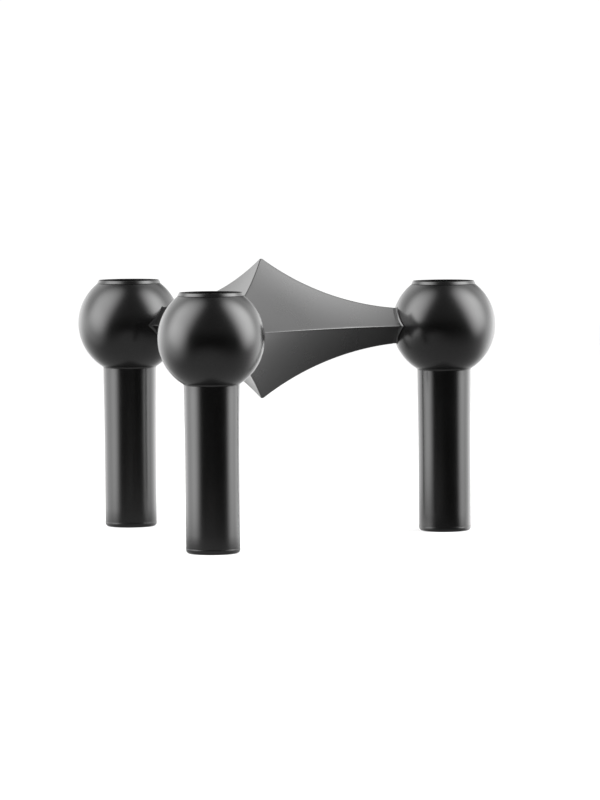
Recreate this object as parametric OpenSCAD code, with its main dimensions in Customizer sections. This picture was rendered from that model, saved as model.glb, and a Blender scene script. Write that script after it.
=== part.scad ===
// Three-cup table candelabra: a cast star joins three ball-topped stems.
// Each ball carries a turned candle cup. Each stem ends in a foot cap.
// Units are mm. The origin is on the star's axis at table level, +Z up.

/* [Overall] */
// Table to the lip of the candle cups
total_height = 66; // [50:0.5:90]
// Circle through the three stem axes
stem_circle_d = 99.6; // [85:0.2:130]

/* [Balls] */
// Outside diameter of each ball
ball_d = 27.2; // [24:0.1:36]
// Wall of the spun ball
ball_wall = 1.6; // [1:0.1:2]
// Lip height above the flat cut on top of the ball
collar_h = 0.92; // [0.5:0.02:2]

/* [Legs] */
// Leg diameter just below the ball
leg_top_d = 14.1; // [12:0.1:16]
// Leg diameter along the straight lower end
leg_foot_d = 13.76; // [11:0.02:16]
// Length of the straight lower end, the part that stacks in a cup
leg_straight = 20.7; // [10:0.1:30]
// Wall of the leg tube
leg_wall = 1.5; // [1:0.1:2]
// Small blend where the leg runs into the ball
leg_blend_r = 0.6; // [0.2:0.05:1]

/* [Foot caps] */
// Visible height of the foot cap
foot_cap_h = 1.3; // [1.3:0.1:4]
// Rounding of the cap's lower edge
foot_round_r = 1; // [0.3:0.1:1.2]
// How far the cap stands proud of the leg, per side
foot_proud = 0.02; // [0:0.01:0.1]
// Length of the cap's plug inside the leg
foot_plug_h = 6; // [3:0.5:12]

/* [Candle cups] */
// Bore that takes the candle or the leg of another candelabra
cup_bore_d = 14.1; // [12:0.1:16]
// Wall of the cup below its collar
cup_wall = 0.9; // [0.6:0.1:1.5]
// Depth from the lip to the floor of the cup
cup_depth = 17.9; // [14:0.1:19]
// Floor under the candle
cup_floor = 2.6; // [2.4:0.1:4]
// Lead-in from the lip down to the straight bore
mouth_depth = 1.6; // [0.8:0.1:3]
// Upper part of the lead-in, which is cut straight
mouth_step = 0.6; // [0.3:0.1:0.7]
// How much the collar narrows up to the lip, per side
collar_lean = 0.33; // [0:0.01:0.4]
// Roundness of the lip
lip_r = 0.14; // [0.08:0.01:0.2]

/* [Star] */
// Tip to tip height of the star, before its tips are blunted
star_height = 37.2; // [24:0.2:40]
// Middle of the star's side edge to the star's axis
star_waist = 16.1; // [12:0.1:20]
// Radius of the six hollow dishes that shape the star
dish_r = 103; // [90:1:140]

/* [Arm joints] */
// Thickness of the saddle lip against the ball
saddle_lip = 0.55; // [0.4:0.05:1.5]
// Width of the shadow groove between saddle and star
saddle_groove = 0.5; // [0.2:0.05:1]
// Depth of the shadow groove
groove_depth = 0.3; // [0.1:0.05:0.6]
// Half width of the saddle across the arm
saddle_half_w = 5.2; // [4.6:0.1:8]
// Half height of the saddle
saddle_half_h = 4.95; // [4.4:0.05:7]

/* [Screws] */
// Shank diameter of the arm and cup screws
screw_d = 4; // [3:0.5:4]
// Arm screw length under its head
arm_screw_len = 14; // [8:0.5:18]
// Cup screw length with its countersunk head
cup_screw_len = 15; // [10:0.5:18]

/* [Hidden] */
$fn = 96;
stems = ["front", "right", "left"];
angles = [-90, 30, 150];
eps = 0.01;
slip = 0.05;           // loose pieces that locate in one another, per side
seat_gap = 0.02;       // left between two lacquered faces drawn up tight
hole_slack = 0.25;     // clearance hole round a screw shank, per side
edge_break = 0.12;     // broken edges along the visible seams
foot_break = 0.05;     // the same at the foot seam, which the lacquer nearly fills

stem_r = stem_circle_d / 2;
ball_r = ball_d / 2;
ball_in_r = ball_r - ball_wall;
leg_top_r = leg_top_d / 2;
leg_foot_r = leg_foot_d / 2;
leg_in_r = leg_foot_r - leg_wall;
bore_r = cup_bore_d / 2;
cup_out_r = bore_r + cup_wall;
opening_r = cup_out_r + 2 * slip;
collar_r = opening_r + 0.38;
collar_z = total_height - collar_h;
ball_z = collar_z - sqrt(ball_r * ball_r - collar_r * collar_r);
cup_floor_z = total_height - cup_depth;
cup_base_z = cup_floor_z - cup_floor;

// where the leg's blend touches the leg and the ball
blend_x = leg_top_r + leg_blend_r;
blend_z = ball_z - sqrt(pow(ball_r + leg_blend_r, 2) - blend_x * blend_x);
blend_edge_x = blend_x * ball_r / (ball_r + leg_blend_r);

// plug that ties cup, ball and leg together
spigot_r = leg_in_r - 0.5;
plug_top_z = cup_base_z - 0.3;
plug_shoulder_z = ball_z - sqrt(ball_r * ball_r - spigot_r * spigot_r) - 0.15;
plug_h = 11.5;

screw_r = screw_d / 2;
tapped_r = screw_r + slip;
clear_r = screw_r + hole_slack;
head_r = screw_r * 1.7;
head_h = screw_r * 1.1;
washer_r = screw_r * 1.9;
washer_t = 0.7;
hex_r = screw_r * 0.72;
hex_deep = screw_r * 0.8;
csk_r = screw_r * 1.95;

// distances from the ball's axis towards the star's axis
washer_out = sqrt(ball_in_r * ball_in_r - washer_r * washer_r) - seat_gap;
head_out = washer_out - washer_t;
saddle_in = ball_r + seat_gap;
groove_in = saddle_in + saddle_lip;
star_end = groove_in + saddle_groove;

// centre of a dish: a sphere through the star's tip and its side edge
star_half = star_height / 2;
half_chord = norm([star_waist, star_half]) / 2;
dish_offset = sqrt(dish_r * dish_r - half_chord * half_chord);
dish_x = star_waist / 2 + dish_offset * star_half / (2 * half_chord);
dish_z = star_half / 2 + dish_offset * star_waist / (2 * half_chord);
tip_flat = 0.35;       // taken off each tip

lacquer = [0.09, 0.09, 0.10];
steel = [0.72, 0.72, 0.74];

// ---- placing helpers ----

// puts a stem piece, drawn on its own axis, on stem number i
module on_stem(i) {
    rotate([0, 0, angles[i]]) translate([stem_r, 0, 0]) children();
}

// turns +Z to point from the ball's centre to the star's axis
module towards_star(i) {
    on_stem(i) translate([0, 0, ball_z]) rotate([0, -90, 0]) children();
}

// ---- star: a block hollowed by six shallow dishes ----

module dish(side, turn) {
    rotate([0, 0, turn])
        translate([dish_x, 0, side * dish_z])
            sphere(r = dish_r, $fn = 360);
}

module star_blank() {
    cylinder(r = stem_r - ball_r + 1, h = star_height - 2 * tip_flat, center = true);
}

module star_body() {
    color(lacquer)
    difference() {
        translate([0, 0, ball_z])
            difference() {
                star_blank();
                for (a = angles, side = [-1, 1]) dish(side, a + 60);
            }
        for (i = [0 : 2]) {
            on_stem(i) translate([0, 0, ball_z]) sphere(r = star_end, $fn = 180);
            towards_star(i) cylinder(r = tapped_r, h = head_out + arm_screw_len + 0.5);
        }
    }
}

// ---- arm joint: saddle, washer and screw ----

module saddle_outline(inset) {
    polygon([
        [saddle_half_h - inset, 0],
        [0, saddle_half_w - inset],
        [-(saddle_half_h - inset), 0],
        [0, -(saddle_half_w - inset)]
    ]);
}

module saddle_layer(r_in, r_out, inset) {
    intersection() {
        difference() {
            sphere(r = r_out, $fn = 180);
            sphere(r = r_in, $fn = 180);
        }
        linear_extrude(height = r_out + 1) saddle_outline(inset);
    }
}

module arm_saddle(i) {
    color(lacquer)
    towards_star(i)
        difference() {
            union() {
                saddle_layer(saddle_in, groove_in, 0);
                saddle_layer(saddle_in, star_end - seat_gap, groove_depth);
            }
            cylinder(r = clear_r, h = star_end + 1);
        }
}

module arm_washer(i) {
    color(steel)
    towards_star(i)
        translate([0, 0, head_out])
            difference() {
                cylinder(r = washer_r, h = washer_t);
                translate([0, 0, -1]) cylinder(r = clear_r, h = washer_t + 2);
            }
}

module arm_screw(i) {
    color(steel)
    towards_star(i)
        translate([0, 0, head_out - head_h])
            difference() {
                union() {
                    cylinder(r = head_r, h = head_h);
                    cylinder(r = screw_r, h = head_h + arm_screw_len);
                }
                translate([0, 0, -eps])
                    cylinder(r = hex_r, h = hex_deep, $fn = 6);
            }
}

// ---- ball: spun shell, open on top for the cup and below for the plug ----

module ball_shell(i) {
    color(lacquer)
    difference() {
        on_stem(i)
            difference() {
                translate([0, 0, ball_z]) sphere(r = ball_r, $fn = 180);
                translate([0, 0, ball_z]) sphere(r = ball_in_r, $fn = 180);
                translate([0, 0, collar_z]) cylinder(r = ball_r, h = ball_r);
                translate([0, 0, ball_z]) cylinder(r = opening_r, h = ball_r);
                translate([0, 0, ball_z - ball_d]) cylinder(r = spigot_r + 2 * slip, h = ball_d);
            }
        towards_star(i) cylinder(r = clear_r, h = ball_r + 1);
    }
}

// ---- leg: tube, straight at the foot, swelling slightly up to the ball ----

module leg_outline() {
    difference() {
        union() {
            polygon([
                [leg_in_r, foot_cap_h + seat_gap],
                [leg_foot_r - foot_break, foot_cap_h + seat_gap],
                [leg_foot_r, foot_cap_h + seat_gap + foot_break],
                [leg_foot_r, foot_cap_h + leg_straight],
                [leg_top_r, blend_z],
                [leg_top_r, ball_z],
                [leg_in_r, ball_z]
            ]);
            translate([leg_in_r, blend_z])
                square([blend_edge_x - leg_in_r, leg_blend_r * 2]);
        }
        translate([0, ball_z]) circle(r = ball_r + seat_gap, $fn = 180);
        translate([blend_x, blend_z]) circle(r = leg_blend_r, $fn = 64);
    }
}

module leg(i) {
    color(lacquer) on_stem(i) rotate_extrude() leg_outline();
}

// ---- foot cap: disc with a rounded lower edge and a plug in the leg ----

module foot_cap_outline() {
    cap_r = leg_foot_r + foot_proud;
    polygon([
        [0, 0],
        [cap_r - foot_round_r, 0],
        [cap_r - foot_round_r, foot_round_r],
        [cap_r, foot_round_r],
        [cap_r, foot_cap_h - foot_break],
        [cap_r - foot_break, foot_cap_h],
        [leg_in_r - slip, foot_cap_h],
        [leg_in_r - slip, foot_cap_h + foot_plug_h],
        [0, foot_cap_h + foot_plug_h]
    ]);
    intersection() {
        translate([cap_r - foot_round_r, foot_round_r]) circle(r = foot_round_r, $fn = 64);
        translate([cap_r - foot_round_r, 0]) square(foot_round_r);
    }
}

module foot_cap(i) {
    color(lacquer) on_stem(i) rotate_extrude() foot_cap_outline();
}

// ---- leg plug: pressed in the leg, its spigot stands up inside the ball ----

module leg_plug(i) {
    base_z = plug_shoulder_z - plug_h;
    color(steel)
    on_stem(i)
        difference() {
            union() {
                translate([0, 0, base_z])
                    cylinder(r = leg_in_r - slip, h = plug_h);
                translate([0, 0, base_z])
                    cylinder(r = spigot_r, h = plug_top_z - base_z);
            }
            translate([0, 0, base_z + 2]) cylinder(r = tapped_r, h = plug_top_z);
        }
}

// ---- candle cup: turned insert that hangs from the ball's rim ----

module cup_outline() {
    lip_x = collar_r - collar_lean - lip_r;
    lip_z = total_height - lip_r;
    polygon([
        [0, cup_base_z],
        [cup_out_r - 0.4, cup_base_z],
        [cup_out_r, cup_base_z + 0.4],
        [cup_out_r, collar_z + seat_gap],
        [collar_r - edge_break, collar_z + seat_gap],
        [collar_r, collar_z + edge_break],
        [lip_x + lip_r, lip_z],
        [lip_x - lip_r, lip_z],
        [lip_x - lip_r, total_height - mouth_step],
        [bore_r, total_height - mouth_depth],
        [bore_r, cup_floor_z],
        [0, cup_floor_z]
    ]);
    translate([lip_x, lip_z]) circle(r = lip_r, $fn = 48);
}

module candle_cup(i) {
    color(lacquer)
    on_stem(i)
        difference() {
            rotate_extrude() cup_outline();
            translate([0, 0, cup_base_z - 1]) cylinder(r = clear_r, h = cup_floor + 2);
            translate([0, 0, cup_floor_z - (csk_r - screw_r)])
                cylinder(r1 = screw_r + slip, r2 = csk_r + slip, h = csk_r - screw_r + eps);
        }
}

module cup_screw(i) {
    color(steel)
    on_stem(i)
        difference() {
            union() {
                translate([0, 0, cup_floor_z - (csk_r - screw_r)])
                    cylinder(r1 = screw_r, r2 = csk_r, h = csk_r - screw_r);
                translate([0, 0, cup_floor_z - cup_screw_len])
                    cylinder(r = screw_r, h = cup_screw_len - 0.5);
            }
            translate([0, 0, cup_floor_z - hex_deep])
                cylinder(r = hex_r, h = hex_deep + 1, $fn = 6);
        }
}

// ---- one node each ----

star_body();
for (i = [0 : 2]) {
    ball_shell(i);
    leg(i);
    foot_cap(i);
    candle_cup(i);
    arm_saddle(i);
    arm_washer(i);
    arm_screw(i);
    leg_plug(i);
    cup_screw(i);
}
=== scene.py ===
import math

import bpy
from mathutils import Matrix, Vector


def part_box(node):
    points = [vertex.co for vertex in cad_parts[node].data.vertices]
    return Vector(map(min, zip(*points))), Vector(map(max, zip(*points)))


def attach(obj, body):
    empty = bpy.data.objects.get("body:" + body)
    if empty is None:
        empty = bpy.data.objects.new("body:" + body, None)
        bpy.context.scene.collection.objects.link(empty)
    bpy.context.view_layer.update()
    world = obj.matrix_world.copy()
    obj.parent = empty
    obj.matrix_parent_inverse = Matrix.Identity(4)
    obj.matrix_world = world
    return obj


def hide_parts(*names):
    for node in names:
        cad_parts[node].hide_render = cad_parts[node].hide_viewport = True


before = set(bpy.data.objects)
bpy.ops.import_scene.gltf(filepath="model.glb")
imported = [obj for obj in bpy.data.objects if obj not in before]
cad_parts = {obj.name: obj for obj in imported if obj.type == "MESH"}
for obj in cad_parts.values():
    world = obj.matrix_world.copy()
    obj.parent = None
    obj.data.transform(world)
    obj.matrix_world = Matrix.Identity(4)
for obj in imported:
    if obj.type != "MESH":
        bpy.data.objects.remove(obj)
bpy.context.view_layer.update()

# ---- star ----------------------------------------------------------------------------
# The star is one solid aluminium casting, ground into six shallow hollow faces that
# meet in crisp ridges, then bead blasted and sprayed with satin black lacquer. Its arm
# ends are dished to the balls, and tapped for a screw that comes from inside each ball.

MM = 0.001

star_low, star_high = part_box("star_body")
LEVEL = (star_low[2] + star_high[2]) / 2          # height of the arms and of the ball centres
foot_low, foot_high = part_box("foot_cap_front")
STEM_Y = (foot_low[1] + foot_high[1]) / 2         # the front stem stands on the -Y axis
STEM_R = -STEM_Y

TIP_FLAT = 0.35 * MM                              # dressed off each tip
STAR_HALF = (star_high[2] - star_low[2]) / 2 + TIP_FLAT    # with its tips still sharp
STAR_WAIST = 16.1 * MM                            # axis to the middle of a side edge
DISH_R = 103 * MM                                 # hollow of each ground face
ARM_END_R = 14.67 * MM                            # dish in the arm end, about the ball's centre
RIDGE_ROUND = 0.24 * MM                           # softened ridges under the lacquer
FACE_REACH = STEM_R - 11.5 * MM                   # a face runs this far along its arms
FACE_OVERHANG = 4.9 * MM                          # and this far past each arm's middle line
TAPPED_R = 2.05 * MM
TAPPED_LENGTH = 26 * MM
TAPPED_AT = -38 * MM                              # middle of the threaded hole, along the arm
WELD_REACH = 0.002 * MM
BLACK = 0.001                                     # how little light the lacquer's pigment returns

half_chord = math.hypot(STAR_WAIST, STAR_HALF) / 2
dish_offset = math.sqrt(DISH_R**2 - half_chord**2)
DISH_OUT = STAR_WAIST / 2 + dish_offset * STAR_HALF / (2 * half_chord)
DISH_UP = STAR_HALF / 2 + dish_offset * STAR_WAIST / (2 * half_chord)


def clear_selection():
    if bpy.context.object and bpy.context.object.mode != "OBJECT":
        bpy.ops.object.mode_set(mode="OBJECT")
    bpy.ops.object.select_all(action="DESELECT")


def pick(*pieces):
    clear_selection()
    for piece in pieces:
        piece.select_set(True)
    bpy.context.view_layer.objects.active = pieces[0]


def apply_modifier(piece, kind, **settings):
    pick(piece)
    modifier = piece.modifiers.new(kind.title(), kind)
    for key, value in settings.items():
        setattr(modifier, key, value)
    bpy.ops.object.modifier_apply(modifier=modifier.name)


def weld(piece):
    pick(piece)
    bpy.ops.object.mode_set(mode="EDIT")
    bpy.ops.mesh.select_all(action="SELECT")
    bpy.ops.mesh.remove_doubles(threshold=WELD_REACH)
    bpy.ops.mesh.dissolve_degenerate(threshold=WELD_REACH)
    bpy.ops.mesh.normals_make_consistent(inside=False)
    bpy.ops.object.mode_set(mode="OBJECT")


def settle_mesh(piece):
    pick(piece)
    bpy.ops.object.transform_apply(location=True, rotation=True, scale=True)


def cutting_ball(radius, centre):
    clear_selection()
    bpy.ops.mesh.primitive_uv_sphere_add(
        segments=160, ring_count=96, radius=radius, location=centre
    )
    return bpy.context.object


def cutting_rod(radius, depth, centre, sides=64):
    # lies along Y, as the front arm does
    clear_selection()
    bpy.ops.mesh.primitive_cylinder_add(
        vertices=sides, radius=radius, depth=depth,
        location=centre, rotation=(math.pi / 2, 0, 0),
    )
    return bpy.context.object


def carve(piece, tool, operation="DIFFERENCE"):
    apply_modifier(piece, "BOOLEAN", operation=operation, solver="EXACT", object=tool)
    bpy.data.objects.remove(tool)


def star_face():
    # the hollow upper face that looks along +Y, with its lower twin
    arm = Vector((math.cos(math.radians(30)), math.sin(math.radians(30)), 0))
    edge_r = math.sqrt(DISH_R**2 - DISH_UP**2)
    edge_end_x = arm.x * FACE_REACH - arm.y * FACE_OVERHANG
    clear_selection()
    bpy.ops.mesh.primitive_grid_add(x_subdivisions=72, y_subdivisions=18, size=2)
    face = bpy.context.object
    for vertex in face.data.vertices:
        along, up = vertex.co.x, (vertex.co.y + 1) / 2
        edge_x = along * edge_end_x
        edge_y = DISH_OUT - math.sqrt(edge_r**2 - edge_x**2)
        x = along * FACE_REACH * arm.x * up + edge_x * (1 - up)
        y = abs(along) * FACE_REACH * arm.y * up + edge_y * (1 - up)
        fall = math.sqrt(DISH_R**2 - x**2 - (y - DISH_OUT) ** 2)
        vertex.co = (x, y, LEVEL + DISH_UP - fall)
    clear_selection()
    bpy.ops.object.empty_add(location=(0, 0, LEVEL))
    level_mark = bpy.context.object
    apply_modifier(
        face, "MIRROR", use_axis=(False, False, True), mirror_object=level_mark,
        use_mirror_merge=True, merge_threshold=WELD_REACH,
    )
    bpy.data.objects.remove(level_mark)
    return face


def cast_star():
    star = star_face()
    star.name = "star"
    others = []
    for turn in (120, 240):
        pick(star)
        bpy.ops.object.duplicate()
        other = bpy.context.object
        other.rotation_euler.z = math.radians(turn)
        settle_mesh(other)
        others.append(other)
    pick(star, *others)
    bpy.ops.object.join()
    weld(star)
    pick(star)
    bpy.ops.object.mode_set(mode="EDIT")
    for tip, up in ((star_high, 1), (star_low, -1)):
        bpy.ops.mesh.select_all(action="SELECT")
        bpy.ops.mesh.bisect(
            plane_co=(0, 0, tip[2]), plane_no=(0, 0, up), clear_outer=True, use_fill=True
        )
    bpy.ops.mesh.select_all(action="DESELECT")
    bpy.ops.mesh.select_non_manifold()
    bpy.ops.mesh.fill_holes(sides=0)
    bpy.ops.mesh.select_all(action="SELECT")
    bpy.ops.mesh.normals_make_consistent(inside=False)
    bpy.ops.mesh.select_all(action="DESELECT")
    bpy.ops.mesh.edges_select_sharp(sharpness=math.radians(32))
    bpy.ops.mesh.bevel(offset=RIDGE_ROUND, segments=3, profile=0.5, clamp_overlap=False)
    bpy.ops.object.mode_set(mode="OBJECT")
    for turn in (0, 120, 240):
        angle = math.radians(turn - 90)
        out = Vector((math.cos(angle), math.sin(angle), 0))
        ball_centre = out * STEM_R + Vector((0, 0, LEVEL))
        carve(star, cutting_ball(ARM_END_R, ball_centre))
        thread = cutting_rod(TAPPED_R, TAPPED_LENGTH, (0, TAPPED_AT, LEVEL))
        settle_mesh(thread)
        thread.rotation_euler.z = math.radians(turn)
        carve(star, thread)
    return star


def smooth(piece, degrees=35, weighted=False):
    pick(piece)
    bpy.ops.object.shade_smooth_by_angle(angle=math.radians(degrees))
    if weighted:
        apply_modifier(piece, "WEIGHTED_NORMAL", mode="FACE_AREA", weight=50, keep_sharp=True)


def lacquer(name, sheen, shine):
    # sheen is the roughness of the dry coat, shine its strength of reflection
    finish = bpy.data.materials.new(name)
    finish.use_nodes = True
    nodes, links = finish.node_tree.nodes, finish.node_tree.links
    shader = nodes["Principled BSDF"]
    shader.inputs["IOR"].default_value = 1.5
    place = nodes.new("ShaderNodeTexCoord")

    # the spray coat lies a little thicker and duller in places
    cloud = nodes.new("ShaderNodeTexNoise")
    cloud.inputs["Scale"].default_value = 70
    cloud.inputs["Detail"].default_value = 4
    links.new(place.outputs["Object"], cloud.inputs["Vector"])
    dullness = nodes.new("ShaderNodeMapRange")
    dullness.inputs["From Min"].default_value = 0.3
    dullness.inputs["From Max"].default_value = 0.7
    dullness.inputs["To Min"].default_value = sheen - 0.02
    dullness.inputs["To Max"].default_value = sheen + 0.025
    links.new(cloud.outputs["Fac"], dullness.inputs["Value"])

    # painted shade: ambient occlusion turns the lacquer's reflection down in deep corners,
    # creases and recesses, so they look dark
    corner = nodes.new("ShaderNodeAmbientOcclusion")
    corner.samples = 6
    corner.inputs["Distance"].default_value = 5 * MM
    painted_corner_shade = nodes.new("ShaderNodeMapRange")
    painted_corner_shade.inputs["From Min"].default_value = 0.05
    painted_corner_shade.inputs["From Max"].default_value = 0.3
    painted_corner_shade.inputs["To Min"].default_value = 0.08
    painted_corner_shade.inputs["To Max"].default_value = shine
    links.new(corner.outputs["AO"], painted_corner_shade.inputs["Value"])
    # the painted shade sets how strongly the lacquer reflects
    links.new(painted_corner_shade.outputs["Result"], shader.inputs["Specular IOR Level"])
    links.new(dullness.outputs["Result"], shader.inputs["Roughness"])

    # carbon black with a trace of brown where the coat is thin
    pigment = nodes.new("ShaderNodeMixRGB")
    pigment.inputs["Color1"].default_value = (BLACK, BLACK, BLACK * 1.05, 1)
    pigment.inputs["Color2"].default_value = (BLACK * 1.5, BLACK * 1.42, BLACK * 1.4, 1)
    links.new(cloud.outputs["Fac"], pigment.inputs["Fac"])

    # edges carry a thinner, slightly rubbed coat
    rounded = nodes.new("ShaderNodeBevel")
    rounded.samples = 4
    rounded.inputs["Radius"].default_value = 0.25 * MM
    surface = nodes.new("ShaderNodeNewGeometry")
    facing = nodes.new("ShaderNodeVectorMath")
    facing.operation = "DOT_PRODUCT"
    links.new(rounded.outputs["Normal"], facing.inputs[0])
    links.new(surface.outputs["Normal"], facing.inputs[1])
    rub = nodes.new("ShaderNodeMapRange")
    rub.inputs["From Min"].default_value = 0.995
    rub.inputs["From Max"].default_value = 0.9
    rub.inputs["To Min"].default_value = 0
    rub.inputs["To Max"].default_value = 0.55
    links.new(facing.outputs["Value"], rub.inputs["Value"])
    worn = nodes.new("ShaderNodeMixRGB")
    worn.inputs["Color2"].default_value = (BLACK * 8, BLACK * 7.8, BLACK * 7.6, 1)
    links.new(rub.outputs["Result"], worn.inputs["Fac"])
    links.new(pigment.outputs["Color"], worn.inputs["Color1"])
    links.new(worn.outputs["Color"], shader.inputs["Base Color"])

    # fine orange peel over a finer spray grain
    peel = nodes.new("ShaderNodeTexNoise")
    peel.inputs["Scale"].default_value = 900
    peel.inputs["Detail"].default_value = 2
    links.new(place.outputs["Object"], peel.inputs["Vector"])
    grain = nodes.new("ShaderNodeTexNoise")
    grain.inputs["Scale"].default_value = 6000
    grain.inputs["Detail"].default_value = 1
    links.new(place.outputs["Object"], grain.inputs["Vector"])
    peel_relief = nodes.new("ShaderNodeBump")
    peel_relief.inputs["Strength"].default_value = 0.05
    peel_relief.inputs["Distance"].default_value = 0.01 * MM
    links.new(peel.outputs["Fac"], peel_relief.inputs["Height"])
    grain_relief = nodes.new("ShaderNodeBump")
    grain_relief.inputs["Strength"].default_value = 0.06
    grain_relief.inputs["Distance"].default_value = 0.003 * MM
    links.new(grain.outputs["Fac"], grain_relief.inputs["Height"])
    links.new(peel_relief.outputs["Normal"], grain_relief.inputs["Normal"])
    links.new(grain_relief.outputs["Normal"], shader.inputs["Normal"])
    return finish


def dress(piece, finish):
    piece.data.materials.clear()
    piece.data.materials.append(finish)


satin_black = lacquer("satin_black_lacquer", 0.24, 0.5)
cast_black = lacquer("satin_black_on_casting", 0.28, 0.72)

star = cast_star()
smooth(star, 35, weighted=True)
dress(star, cast_black)
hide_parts("star_body")
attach(star, "root")

# ---- saddles -------------------------------------------------------------------------
# A thin diamond of cast aluminium sits between each arm and its ball. It is dished to the
# ball, its lip slants in towards the star, and a neck behind the lip leaves a shadow line.

SADDLE_IN_R = 13.62 * MM                          # dish against the ball
LIP_R = 14.17 * MM                                # where the lip ends and the neck begins
LIP_DRAW_ACROSS = 0.87                            # how far the slant draws the lip in
LIP_DRAW_UP = 0.92
NECK_STEP_ACROSS = 0.75 * MM
NECK_STEP_UP = 0.22 * MM
NECK_GAP = 0.02 * MM                              # between the neck and the arm end
SADDLE_CORNER = 0.12 * MM
BAR_LENGTH = 8 * MM
BAR_OUT = 15 * MM                                 # middle of the bar, from the stem's axis
SCREW_CLEAR_R = 2.25 * MM

saddle_low, saddle_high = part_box("arm_saddle_front")
SADDLE_HALF_W = (saddle_high[0] - saddle_low[0]) / 2
SADDLE_HALF_H = (saddle_high[2] - saddle_low[2]) / 2
BALL_CENTRE = Vector((0, STEM_Y, LEVEL))


def diamond_bar(inset_across, inset_up):
    bar = cutting_rod(1, BAR_LENGTH, (0, STEM_Y + BAR_OUT, LEVEL), sides=4)
    bar.scale = (SADDLE_HALF_W - inset_across, SADDLE_HALF_H - inset_up, 1)
    settle_mesh(bar)
    apply_modifier(
        bar, "BEVEL", width=SADDLE_CORNER, segments=3, limit_method="ANGLE", angle_limit=0.5
    )
    return bar


def saddle_layer(inner_r, outer_r, inset_across, inset_up):
    layer = diamond_bar(inset_across, inset_up)
    carve(layer, cutting_ball(outer_r, BALL_CENTRE), "INTERSECT")
    carve(layer, cutting_ball(inner_r, BALL_CENTRE))
    return layer


def ring_of_three(first, name, node, finish):
    # the same piece on the front, right and left stems, each with its own mesh
    for stem, turn in (("front", 0), ("right", 120), ("left", 240)):
        pick(first)
        bpy.ops.object.duplicate()
        piece = bpy.context.object
        piece.name = f"{name}_{stem}"
        piece.rotation_euler.z = math.radians(turn)
        settle_mesh(piece)
        dress(piece, finish)
        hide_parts(f"{node}_{stem}")
        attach(piece, "root")
    bpy.data.objects.remove(first)


saddle = saddle_layer(SADDLE_IN_R, LIP_R, 0, 0)
# only the side of the lip that looks at the star is drawn in
for corner in saddle.data.vertices:
    if (corner.co - BALL_CENTRE).length > LIP_R - 0.02 * MM:
        corner.co.x *= LIP_DRAW_ACROSS
        corner.co.z = LEVEL + (corner.co.z - LEVEL) * LIP_DRAW_UP
neck = saddle_layer(SADDLE_IN_R, ARM_END_R - NECK_GAP, NECK_STEP_ACROSS, NECK_STEP_UP)
carve(saddle, neck, "UNION")
carve(saddle, cutting_rod(SCREW_CLEAR_R, 20 * MM, (0, STEM_Y + BAR_OUT, LEVEL)))
smooth(saddle, 30)
ring_of_three(saddle, "saddle", "arm_saddle", cast_black)

# ---- balls ---------------------------------------------------------------------------
# Each ball is spun from brass sheet, trimmed flat on top where the cup's collar sits,
# and pierced below for the spigot of the leg plug and at the side for the arm screw.

ball_low, ball_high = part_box("ball_shell_front")
BALL_R = (ball_high[0] - ball_low[0]) / 2
BALL_WALL = 1.6 * MM
BALL_TOP = ball_high[2]
BALL_OPENING_R = 8.05 * MM
BALL_HOLE_R = 4.98 * MM


def arc(centre_r, centre_z, radius, start, end, steps):
    # points round a circle, in degrees from the outward direction
    turns = [math.radians(start + (end - start) * i / steps) for i in range(steps + 1)]
    return [(centre_r + radius * math.cos(t), centre_z + radius * math.sin(t)) for t in turns]


def turned(name, outline, steps=168):
    # a closed outline of (radius, height) points, spun about the front stem's axis
    clear_selection()
    bpy.ops.mesh.primitive_circle_add(vertices=len(outline), radius=1, fill_type="NOTHING")
    piece = bpy.context.object
    piece.name = name
    for vertex, (radius, height) in zip(piece.data.vertices, outline):
        vertex.co = (radius, STEM_Y, height)
    bpy.ops.object.mode_set(mode="EDIT")
    bpy.ops.mesh.select_all(action="SELECT")
    bpy.ops.mesh.spin(steps=steps, angle=math.tau, center=(0, STEM_Y, 0), axis=(0, 0, 1))
    bpy.ops.object.mode_set(mode="OBJECT")
    weld(piece)
    return piece


def on_sphere(radius, at_r):
    # degrees above a sphere's middle at which it is at_r from the stem's axis
    return math.degrees(math.acos(at_r / radius))


inner_r = BALL_R - BALL_WALL
top_angle = math.degrees(math.asin((BALL_TOP - LEVEL) / BALL_R))
ball = turned(
    "ball",
    arc(0, LEVEL, BALL_R, -on_sphere(BALL_R, BALL_HOLE_R), top_angle, 96)
    + [(BALL_OPENING_R, BALL_TOP)]
    + arc(
        0, LEVEL, inner_r,
        on_sphere(inner_r, BALL_OPENING_R), -on_sphere(inner_r, BALL_HOLE_R), 48,
    ),
)
carve(ball, cutting_rod(SCREW_CLEAR_R, 10 * MM, (0, STEM_Y + 13 * MM, LEVEL)))
smooth(ball, 35)
ring_of_three(ball, "ball", "ball_shell", satin_black)

# ---- legs ----------------------------------------------------------------------------
# Each leg is drawn tube, swaged a little slimmer over its lower end so that it drops
# into the cup of another candelabra, and blended where it meets the ball.

leg_low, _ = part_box("leg_front")
LEG_BOTTOM = leg_low[2]
LEG_FOOT_R = 6.88 * MM
LEG_TOP_R = 7.05 * MM
LEG_INNER_R = 5.38 * MM
LEG_STRAIGHT_TOP = 22 * MM                        # the leg swells above this height
LEG_BLEND = 0.6 * MM
FOOT_BREAK = 0.03 * MM                            # broken edges at the seam above the foot cap
SEAT_GAP = 0.02 * MM
SEAT_R = BALL_R + SEAT_GAP

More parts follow.
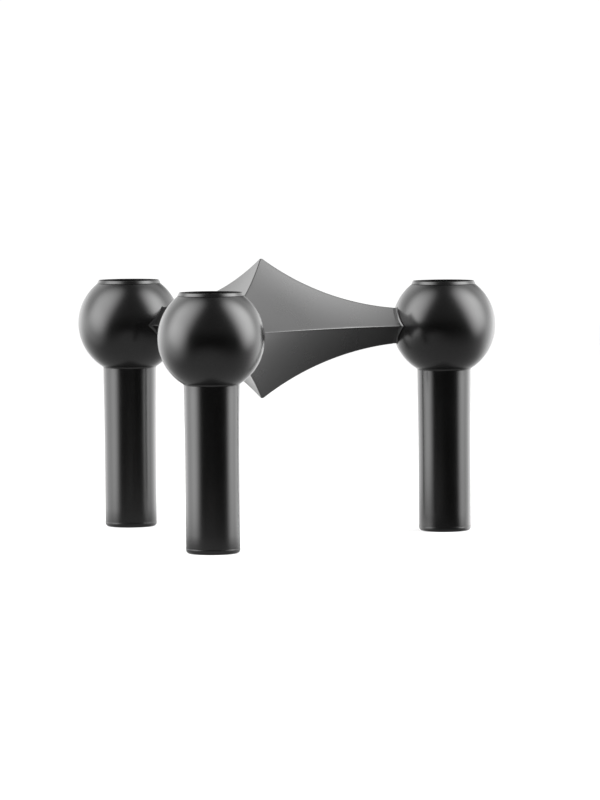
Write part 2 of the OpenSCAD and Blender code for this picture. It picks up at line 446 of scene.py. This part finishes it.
blend_r = LEG_TOP_R + LEG_BLEND
blend_z = LEVEL - math.sqrt((BALL_R + LEG_BLEND) ** 2 - blend_r**2)
blend_end = math.degrees(math.atan2(LEVEL - blend_z, blend_r))
straight = [
    (LEG_FOOT_R, LEG_STRAIGHT_TOP * i / 6 + LEG_BOTTOM * (6 - i) / 6) for i in range(1, 6)
]
swell = [
    (LEG_FOOT_R + (LEG_TOP_R - LEG_FOOT_R) * (i / 10) ** 1.5,
     LEG_STRAIGHT_TOP + (blend_z - LEG_STRAIGHT_TOP) * i / 10)
    for i in range(10)
]
leg = turned(
    "leg",
    [(LEG_INNER_R, LEG_BOTTOM), (LEG_FOOT_R - FOOT_BREAK, LEG_BOTTOM)]
    + arc(LEG_FOOT_R - FOOT_BREAK, LEG_BOTTOM + FOOT_BREAK, FOOT_BREAK, -45, 0, 3)
    + straight
    + swell
    + arc(blend_r, blend_z, LEG_BLEND, 180, 180 - blend_end, 8)
    + arc(0, LEVEL, SEAT_R, -on_sphere(SEAT_R, LEG_TOP_R), -on_sphere(SEAT_R, LEG_INNER_R), 6),
)
smooth(leg, 35)
ring_of_three(leg, "leg", "leg", satin_black)

# ---- foot caps -----------------------------------------------------------------------
# A turned cap closes the end of each leg. It stands a hair proud of the tube, its lower
# edge is well rounded, and its plug is a push fit in the bore. It is lacquered with the leg.

CAP_R = (foot_high[0] - foot_low[0]) / 2
CAP_ROUND = 1 * MM
CAP_SEAM = 1.3 * MM
CAP_PLUG_R = 5.33 * MM
CAP_PLUG_BREAK = 0.4 * MM
CAP_TOP = foot_high[2]
CAP_RECESS_R = 4 * MM

foot_cap = turned(
    "foot_cap",
    [(0, 0.0), (CAP_RECESS_R, 0.0)]
    + arc(CAP_R - CAP_ROUND, CAP_ROUND, CAP_ROUND, -90, 0, 14)
    + arc(CAP_R - FOOT_BREAK, CAP_SEAM - FOOT_BREAK, FOOT_BREAK, 0, 90, 4)
    + [(CAP_PLUG_R, CAP_SEAM), (CAP_PLUG_R, CAP_TOP - CAP_PLUG_BREAK)]
    + [(CAP_PLUG_R - CAP_PLUG_BREAK, CAP_TOP), (0, CAP_TOP)],
)
smooth(foot_cap, 35)
ring_of_three(foot_cap, "foot_cap", "foot_cap", satin_black)

# ---- candle cups ---------------------------------------------------------------------
# Each cup is turned from bar: a collar that leans in to a sharp lip, a plain step inside
# the mouth, and a straight bore with a drilled, countersunk floor for the cup screw.

cup_low, cup_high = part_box("candle_cup_front")
COLLAR_R = (cup_high[0] - cup_low[0]) / 2
LIP_TOP = cup_high[2]
CUP_BASE = cup_low[2]
CUP_OUT_R = 7.95 * MM
BORE_R = 7.05 * MM
BORE_BREAK = 0.3 * MM
CUP_BREAK = 0.4 * MM
MOUTH = 1.6 * MM                                  # depth at which the bore starts
MOUTH_STEP = 0.6 * MM
COLLAR_LEAN = 0.33 * MM
COLLAR_BASE = BALL_TOP + SEAT_GAP
COLLAR_BREAK = 0.12 * MM
LIP_ROUND = 0.14 * MM
CUP_FLOOR = CUP_BASE + 2.6 * MM
SINK_R = 3.95 * MM
SINK_DEPTH = 1.9 * MM

lip_r = COLLAR_R - COLLAR_LEAN - LIP_ROUND
lip_z = LIP_TOP - LIP_ROUND
cup = turned(
    "cup",
    [(SCREW_CLEAR_R, CUP_BASE), (CUP_OUT_R - CUP_BREAK, CUP_BASE)]
    + [(CUP_OUT_R, CUP_BASE + CUP_BREAK)]
    + [(CUP_OUT_R, COLLAR_BASE), (COLLAR_R - COLLAR_BREAK, COLLAR_BASE)]
    + arc(COLLAR_R - COLLAR_BREAK, COLLAR_BASE + COLLAR_BREAK, COLLAR_BREAK, -60, 0, 3)
    + arc(lip_r, lip_z, LIP_ROUND, 23, 180, 12)
    + [(lip_r - LIP_ROUND, LIP_TOP - MOUTH_STEP)]
    + [(BORE_R + 0.06 * MM, LIP_TOP - MOUTH + 0.1 * MM), (BORE_R, LIP_TOP - MOUTH - 0.1 * MM)]
    + [(BORE_R, CUP_FLOOR + BORE_BREAK), (BORE_R - BORE_BREAK, CUP_FLOOR)]
    + [(SINK_R, CUP_FLOOR), (SCREW_CLEAR_R, CUP_FLOOR - SINK_DEPTH)],
)
smooth(cup, 35)
ring_of_three(cup, "cup", "candle_cup", satin_black)

# painted shade: the mouth and bore get a rougher copy of the lacquer that reflects much less, so
# they look darker inside
rough_black_painted_shade = lacquer("rough_black_painted_shade_inside_cup", 0.5, 0.12)
for stem in ("front", "right", "left"):
    cup_mesh = bpy.data.objects[f"cup_{stem}"].data
    cup_mesh.materials.append(rough_black_painted_shade)
    middle = sum((vertex.co for vertex in cup_mesh.vertices), Vector()) / len(cup_mesh.vertices)
    # faces that look in towards the bore take the copy with the painted shade
    for face in cup_mesh.polygons:
        outward = (face.center - middle).xy.normalized()
        if face.normal.xy.dot(outward) < -0.3:
            face.material_index = 1

# ---- screws, washers and plugs -------------------------------------------------------
# The fixings inside the stems are zinc-plated steel: a countersunk screw in the floor of
# each cup, the plug it pulls up inside the leg, and the screw and washer in each ball.


def zinc_plate(name):
    finish = bpy.data.materials.new(name)
    finish.use_nodes = True
    nodes, links = finish.node_tree.nodes, finish.node_tree.links
    shader = nodes["Principled BSDF"]
    shader.inputs["Metallic"].default_value = 1
    place = nodes.new("ShaderNodeTexCoord")
    cloud = nodes.new("ShaderNodeTexNoise")
    cloud.inputs["Scale"].default_value = 500
    cloud.inputs["Detail"].default_value = 5
    links.new(place.outputs["Object"], cloud.inputs["Vector"])
    colour = nodes.new("ShaderNodeMixRGB")
    colour.inputs["Color1"].default_value = (0.50, 0.51, 0.53, 1)
    colour.inputs["Color2"].default_value = (0.68, 0.68, 0.66, 1)
    links.new(cloud.outputs["Fac"], colour.inputs["Fac"])
    links.new(colour.outputs["Color"], shader.inputs["Base Color"])
    dullness = nodes.new("ShaderNodeMapRange")
    dullness.inputs["To Min"].default_value = 0.25
    dullness.inputs["To Max"].default_value = 0.5
    links.new(cloud.outputs["Fac"], dullness.inputs["Value"])
    links.new(dullness.outputs["Result"], shader.inputs["Roughness"])
    relief = nodes.new("ShaderNodeBump")
    relief.inputs["Strength"].default_value = 0.15
    relief.inputs["Distance"].default_value = 0.02 * MM
    links.new(cloud.outputs["Fac"], relief.inputs["Height"])
    links.new(relief.outputs["Normal"], shader.inputs["Normal"])
    return finish


zinc = zinc_plate("zinc_plated_steel")
for kind in ("arm_washer", "arm_screw", "leg_plug", "cup_screw"):
    for stem in ("front", "right", "left"):
        dress(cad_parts[f"{kind}_{stem}"], zinc)

# ---- floor ---------------------------------------------------------------------------
# A round sheet of pale translucent acrylic, lit a little from below, which fades into the
# backdrop at its rim. The lacquer reflects a smaller, dimmer card in its place.

FLOOR_R = 1.6
CARD_R = 0.3
CARD_DROP = -0.5 * MM
CARD_SHIFT = 0.06                                 # towards the viewer
CARD_NARROWED = 0.45
FACING = 14.75                                    # degrees the candelabra is turned from square


def toward(azimuth, elevation):
    # a direction from the candelabra, azimuth in degrees from the viewer's right hand
    a, e = math.radians(azimuth + FACING), math.radians(elevation)
    return Vector((math.cos(e) * math.cos(a), math.cos(e) * math.sin(a), math.sin(e)))


def sheet_material(name, glow, tone, fade_from, fade_to):
    finish = bpy.data.materials.new(name)
    finish.use_nodes = True
    nodes, links = finish.node_tree.nodes, finish.node_tree.links
    shader = nodes["Principled BSDF"]
    shader.inputs["Roughness"].default_value = 0.9
    shader.inputs["Specular IOR Level"].default_value = 0.1
    shader.inputs["Emission Color"].default_value = (1, 1, 1, 1)
    shader.inputs["Emission Strength"].default_value = glow
    place = nodes.new("ShaderNodeTexCoord")
    haze = nodes.new("ShaderNodeTexNoise")
    haze.inputs["Scale"].default_value = 12
    haze.inputs["Detail"].default_value = 4
    links.new(place.outputs["Object"], haze.inputs["Vector"])
    shade = nodes.new("ShaderNodeMixRGB")
    shade.inputs["Color1"].default_value = (tone, tone, tone, 1)
    shade.inputs["Color2"].default_value = (tone + 0.02, tone + 0.02, tone + 0.02, 1)
    links.new(haze.outputs["Fac"], shade.inputs["Fac"])
    links.new(shade.outputs["Color"], shader.inputs["Base Color"])
    from_middle = nodes.new("ShaderNodeVectorMath")
    from_middle.operation = "LENGTH"
    links.new(place.outputs["Object"], from_middle.inputs[0])
    rim = nodes.new("ShaderNodeMapRange")
    rim.interpolation_type = "SMOOTHSTEP"
    rim.inputs["From Min"].default_value = fade_from
    rim.inputs["From Max"].default_value = fade_to
    rim.inputs["To Min"].default_value = 1
    rim.inputs["To Max"].default_value = 0
    links.new(from_middle.outputs["Value"], rim.inputs["Value"])
    links.new(rim.outputs["Result"], shader.inputs["Alpha"])
    return finish


def sheet(name, radius, height, finish):
    clear_selection()
    bpy.ops.mesh.primitive_circle_add(
        vertices=128, radius=radius, fill_type="NGON", location=(0, 0, height)
    )
    disc = bpy.context.object
    disc.name = name
    dress(disc, finish)
    return disc


floor = sheet("floor", FLOOR_R, 0, sheet_material(
    "pale_acrylic", glow=0.66, tone=0.34, fade_from=0.3, fade_to=1.5
))
floor.visible_glossy = False

# the part of the floor that shows in the lacquer, seen by nothing else
floor_card = sheet("floor_card", CARD_R, CARD_DROP, sheet_material(
    "floor_in_lacquer", glow=0.55, tone=0.05, fade_from=0, fade_to=0.24
))
floor_card.location += toward(-115, 0) * CARD_SHIFT
floor_card.rotation_euler.z = math.radians(FACING)
floor_card.scale.x = CARD_NARROWED
floor_card.visible_camera = False
floor_card.visible_diffuse = False
floor_card.visible_transmission = False
floor_card.visible_shadow = False

# ---- lights --------------------------------------------------------------------------
# Two large softboxes stand left and right of the candelabra, hot in the middle and
# fading to their edges. The room is pale behind and dark behind the viewer.

SOFTBOX_DISTANCE = 0.6
HOT_MIDDLE = 0.1                                  # share of a softbox that glows in full
CEILING = 0.2                                     # light that comes from straight above
BELOW = 0.5
BACKDROP = 1.05                                   # what the eye sees behind the candelabra


def softbox(name, azimuth, elevation, width, height, power):
    light = bpy.data.lights.new(name, "AREA")
    light.shape = "RECTANGLE"
    light.size = width
    light.size_y = height
    light.energy = power
    light.use_nodes = True
    nodes, links = light.node_tree.nodes, light.node_tree.links
    glow = nodes["Emission"]
    panel = nodes.new("ShaderNodeNewGeometry")
    centred = nodes.new("ShaderNodeVectorMath")
    centred.operation = "SUBTRACT"
    centred.inputs[1].default_value = (0.5, 0.5, 0)
    links.new(panel.outputs["Parametric"], centred.inputs[0])
    flat = nodes.new("ShaderNodeVectorMath")
    flat.operation = "MULTIPLY"
    flat.inputs[1].default_value = (2, 2, 0)
    links.new(centred.outputs["Vector"], flat.inputs[0])
    reach = nodes.new("ShaderNodeVectorMath")
    reach.operation = "LENGTH"
    links.new(flat.outputs["Vector"], reach.inputs[0])
    fade = nodes.new("ShaderNodeMapRange")
    fade.interpolation_type = "SMOOTHSTEP"
    fade.inputs["From Min"].default_value = HOT_MIDDLE
    fade.inputs["From Max"].default_value = 1
    fade.inputs["To Min"].default_value = 1
    fade.inputs["To Max"].default_value = 0
    links.new(reach.outputs["Value"], fade.inputs["Value"])
    links.new(fade.outputs["Result"], glow.inputs["Strength"])
    stand = bpy.data.objects.new(name, light)
    bpy.context.collection.objects.link(stand)
    aim = Vector((0, 0, LEVEL))
    stand.location = aim + toward(azimuth, elevation) * SOFTBOX_DISTANCE
    stand.rotation_euler = (aim - stand.location).to_track_quat("-Z", "Y").to_euler()
    stand.visible_camera = False


softbox("softbox_right", azimuth=-8, elevation=28, width=0.82, height=1.5, power=36.5)
softbox("softbox_left", azimuth=-165, elevation=30, width=0.92, height=1.7, power=34.5)

world = bpy.data.worlds.new("studio")
bpy.context.scene.world = world
world.use_nodes = True
room, wires = world.node_tree.nodes, world.node_tree.links
way = room.new("ShaderNodeTexCoord")


def along(direction, start, end, low, high):
    # light that changes smoothly from low to high as a ray swings towards a direction
    swing = room.new("ShaderNodeVectorMath")
    swing.operation = "DOT_PRODUCT"
    swing.inputs[1].default_value = direction
    wires.new(way.outputs["Generated"], swing.inputs[0])
    ramp = room.new("ShaderNodeMapRange")
    ramp.interpolation_type = "SMOOTHSTEP"
    ramp.inputs["From Min"].default_value = start
    ramp.inputs["From Max"].default_value = end
    ramp.inputs["To Min"].default_value = low
    ramp.inputs["To Max"].default_value = high
    wires.new(swing.outputs["Value"], ramp.inputs["Value"])
    return ramp.outputs["Result"]


def blend(amount, first, second):
    mix = room.new("ShaderNodeMix")
    wires.new(amount, mix.inputs["Factor"])
    for socket, value in ((mix.inputs["A"], first), (mix.inputs["B"], second)):
        if isinstance(value, float):
            socket.default_value = value
        else:
            wires.new(value, socket)
    return mix.outputs["Result"]


def add(first, second):
    both = room.new("ShaderNodeMath")
    wires.new(first, both.inputs[0])
    wires.new(second, both.inputs[1])
    return both.outputs[0]


walls = along(toward(-90, 0), -0.4, 0.62, 1.7, 0.02)
with_ceiling = blend(along(Vector((0, 0, 1)), -0.05, 0.45, 0.0, 1.0), walls, CEILING)
with_floor = blend(along(Vector((0, 0, -1)), 0.1, 0.85, 0.0, 1.0), with_ceiling, BELOW)
# light spilled on the walls: low on the left, and behind on both sides
spill_left = along(toward(-172, -4), 0.78, 1.0, 0.0, 1.6)
spill_behind_left = along(toward(-216, 24), 0.68, 1.0, 0.0, 1.8)
spill_behind_right = along(toward(38, 2), 0.78, 1.0, 0.0, 1.8)
spill_above_right = along(toward(34, 46), 0.82, 1.0, 0.0, 1.4)
light_sum = with_floor
for spill in (spill_left, spill_behind_left, spill_behind_right, spill_above_right):
    light_sum = add(light_sum, spill)
room_light = room["Background"]
room_light.inputs["Color"].default_value = (1, 1, 1, 1)
wires.new(light_sum, room_light.inputs["Strength"])
backdrop = room.new("ShaderNodeBackground")
backdrop.inputs["Color"].default_value = (1, 1, 1, 1)
backdrop.inputs["Strength"].default_value = BACKDROP
seen = room.new("ShaderNodeLightPath")
either = room.new("ShaderNodeMixShader")
wires.new(seen.outputs["Is Camera Ray"], either.inputs["Fac"])
wires.new(room_light.outputs["Background"], either.inputs[1])
wires.new(backdrop.outputs["Background"], either.inputs[2])
wires.new(either.outputs["Shader"], room["World Output"].inputs["Surface"])

# ---- camera --------------------------------------------------------------------------
# A long lens a little above the candelabra, which looks slightly down at it from just
# right of the front leg.

DISTANCE = 1.42
EYE_HEIGHT = 0.1242
LENS = 244.9                                      # millimetres, on a 36 mm sensor
LOOK_DOWN = math.radians(3.57)
LOOK_RIGHT = math.radians(0.429)
TILT = math.radians(0.46)

camera_data = bpy.data.cameras.new("camera")
camera_data.lens = LENS
camera_data.sensor_width = 36
camera_data.clip_start = 0.05
camera = bpy.data.objects.new("camera", camera_data)
bpy.context.collection.objects.link(camera)
camera.location = toward(-90, 0) * DISTANCE + Vector((0, 0, EYE_HEIGHT))
camera.rotation_euler = (math.pi / 2 - LOOK_DOWN, TILT, math.radians(FACING) - LOOK_RIGHT)
bpy.context.scene.camera = camera
bpy.context.scene.view_settings.view_transform = "Standard"
